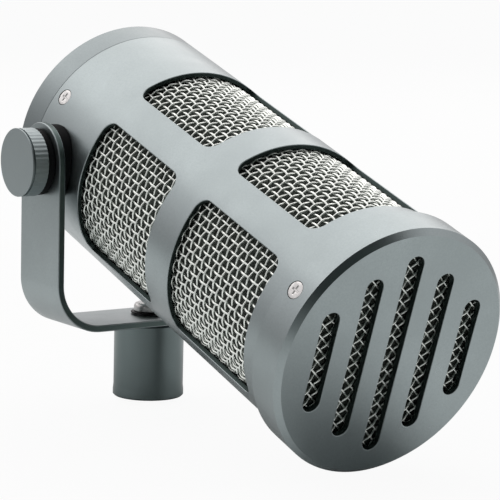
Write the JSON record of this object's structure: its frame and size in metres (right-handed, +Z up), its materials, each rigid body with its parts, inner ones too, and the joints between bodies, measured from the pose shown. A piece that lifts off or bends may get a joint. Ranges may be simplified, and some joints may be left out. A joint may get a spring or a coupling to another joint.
{
  "type": "broadcast microphone",
  "caption": "End-address broadcast microphone: a mesh-windowed metal barrel with a slotted front cap, tilting in a knob-clamped strip yoke that swivels on a threaded stand socket.",
  "frame": {"origin": "centre of the stand socket's lower face", "axes": "+Z up along the stand socket, X along the tilt axis, -Y towards the slotted front of the barrel"},
  "size_m": [0.0854, 0.1499, 0.1043],
  "materials": {
    "grey": "satin blue-grey coat",
    "socket_grey": "satin dark grey coat",
    "wire": "bright woven wire",
    "steel": "bright plated",
    "foam": "open-cell foam",
    "nylon": "moulded black",
    "black_steel": "blackened",
    "brass": "turned",
    "rubber": "soft matt",
    "board": "solder mask",
    "gold": "gold plated"
  },
  "bodies": {
    "stand": {"stand_socket": "socket_grey", "socket_washer": "black_steel", "socket_bolt": "steel"},
    "yoke": {"yoke_strip": "grey", "arm_washer_left": "nylon", "arm_washer_right": "nylon"},
    "barrel": {"barrel_tube": "grey", "front_cap": "grey", "rear_cap": "grey", "mesh_sleeve": "wire", "front_mesh": "wire", "foam_liner": "foam", "front_foam": "foam", "carrier_tube": "nylon", "shock_ring_front": "rubber", "shock_ring_rear": "rubber", "capsule_case": "black_steel", "capsule_grille": "brass", "terminal_board": "board", "transformer": "black_steel", "connector_shell": "steel", "connector_insert": "nylon", "connector_pin_1": "gold", "connector_pin_2": "gold", "connector_pin_3": "gold", "front_screw_1": "steel", "front_screw_2": "steel", "front_screw_3": "steel", "rear_screw_1": "steel", "rear_screw_2": "steel", "rear_screw_3": "steel", "pivot_bush_left": "brass", "pivot_bush_right": "brass", "pivot_spacer_left": "nylon", "pivot_spacer_right": "nylon"},
    "knob_left": {"knob_left": "grey", "knob_stud_left": "steel"},
    "knob_right": {"knob_right": "grey", "knob_stud_right": "steel"}
  },
  "joints": [
    {"name": "yoke_swivel", "type": "hinge", "parent": "stand", "child": "yoke", "pos_m": [0, 0, 0.0213], "axis": [0, 0, 1], "continuous": true},
    {"name": "barrel_tilt", "type": "hinge", "parent": "yoke", "child": "barrel", "pos_m": [0, 0, 0.0676], "axis": [1, 0, 0], "range_deg": [-226.5, 9.5]},
    {"name": "knob_left_turn", "type": "hinge", "parent": "barrel", "child": "knob_left", "pos_m": [-0.0403, 0, 0.0676], "axis": [-1, 0, 0], "range_deg": [0, 360]},
    {"name": "knob_right_turn", "type": "hinge", "parent": "barrel", "child": "knob_right", "pos_m": [0.0403, 0, 0.0676], "axis": [1, 0, 0], "range_deg": [0, 360]}
  ]
}
